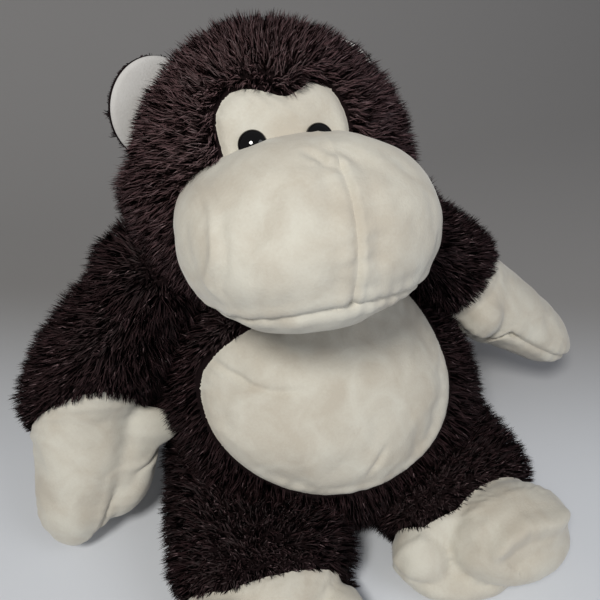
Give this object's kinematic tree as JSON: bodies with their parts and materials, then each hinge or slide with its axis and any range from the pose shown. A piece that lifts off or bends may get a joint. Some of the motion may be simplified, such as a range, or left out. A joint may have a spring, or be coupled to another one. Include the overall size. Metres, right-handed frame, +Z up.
{
  "type": "plush monkey",
  "caption": "Seated plush monkey of dark long-pile plush with a cream muzzle, face, belly, hands and feet, with limbs and a head that turn at their seams",
  "frame": {"origin": "on the floor under the middle of the seat, at the lowest face of the body cover", "axes": "+Z up, the face looks along -Y, +X to the animal's own left side"},
  "size_m": [0.3515, 0.2392, 0.265],
  "materials": {
    "dark_plush": "long-pile plush, nearly black brown with paler frosted tips",
    "cream_velboa": "short-pile velboa, matt",
    "ear_velboa": "short-pile velboa, matt, off-white",
    "fibre_filling": "loose polyester fibre",
    "eye_plastic": "polished black",
    "washer_plastic": "moulded white"
  },
  "bodies": {
    "body": {"body_cover": "dark_plush", "belly_panel": "cream_velboa", "body_filling": "fibre_filling"},
    "head": {"head_cover": "dark_plush", "face_panel": "cream_velboa", "head_filling": "fibre_filling", "muzzle_upper_right": "cream_velboa", "muzzle_upper_left": "cream_velboa", "muzzle_chin": "cream_velboa", "muzzle_filling": "fibre_filling", "eye_right": "eye_plastic", "eye_left": "eye_plastic", "eye_washer_right": "washer_plastic", "eye_washer_left": "washer_plastic", "ear_back_right": "dark_plush", "ear_back_left": "dark_plush", "ear_lining_right": "ear_velboa", "ear_lining_left": "ear_velboa"},
    "arm_right": {"sleeve_right": "dark_plush", "hand_back_right": "cream_velboa", "hand_palm_right": "cream_velboa", "arm_filling_right": "fibre_filling"},
    "leg_right": {"leg_cover_right": "dark_plush", "foot_top_right": "cream_velboa", "foot_sole_right": "cream_velboa", "leg_filling_right": "fibre_filling"},
    "arm_left": {"sleeve_left": "dark_plush", "hand_back_left": "cream_velboa", "hand_palm_left": "cream_velboa", "arm_filling_left": "fibre_filling"},
    "leg_left": {"leg_cover_left": "dark_plush", "foot_top_left": "cream_velboa", "foot_sole_left": "cream_velboa", "leg_filling_left": "fibre_filling"}
  },
  "joints": [
    {"name": "head_turn", "type": "hinge", "parent": "body", "child": "head", "pos_m": [-0.003, 0.005, 0.145], "axis": [0, 0, 1], "range_deg": [-25, 25], "stiffness_Nm_per_rad": 0.35},
    {"name": "arm_swing_right", "type": "hinge", "parent": "body", "child": "arm_right", "pos_m": [-0.07, 0.002, 0.149], "axis": [-1, 0, 0], "range_deg": [-45, 90], "stiffness_Nm_per_rad": 0.3},
    {"name": "leg_spread_right", "type": "hinge", "parent": "body", "child": "leg_right", "pos_m": [-0.041, -0.03, 0.028], "axis": [0, 0, -1], "range_deg": [-4, 18], "stiffness_Nm_per_rad": 0.5},
    {"name": "arm_swing_left", "type": "hinge", "parent": "body", "child": "arm_left", "pos_m": [0.07, 0.002, 0.149], "axis": [-1, 0, 0], "range_deg": [-45, 90], "stiffness_Nm_per_rad": 0.3},
    {"name": "leg_spread_left", "type": "hinge", "parent": "body", "child": "leg_left", "pos_m": [0.071, -0.03, 0.028], "axis": [0, 0, 1], "range_deg": [-4, 18], "stiffness_Nm_per_rad": 0.5}
  ]
}
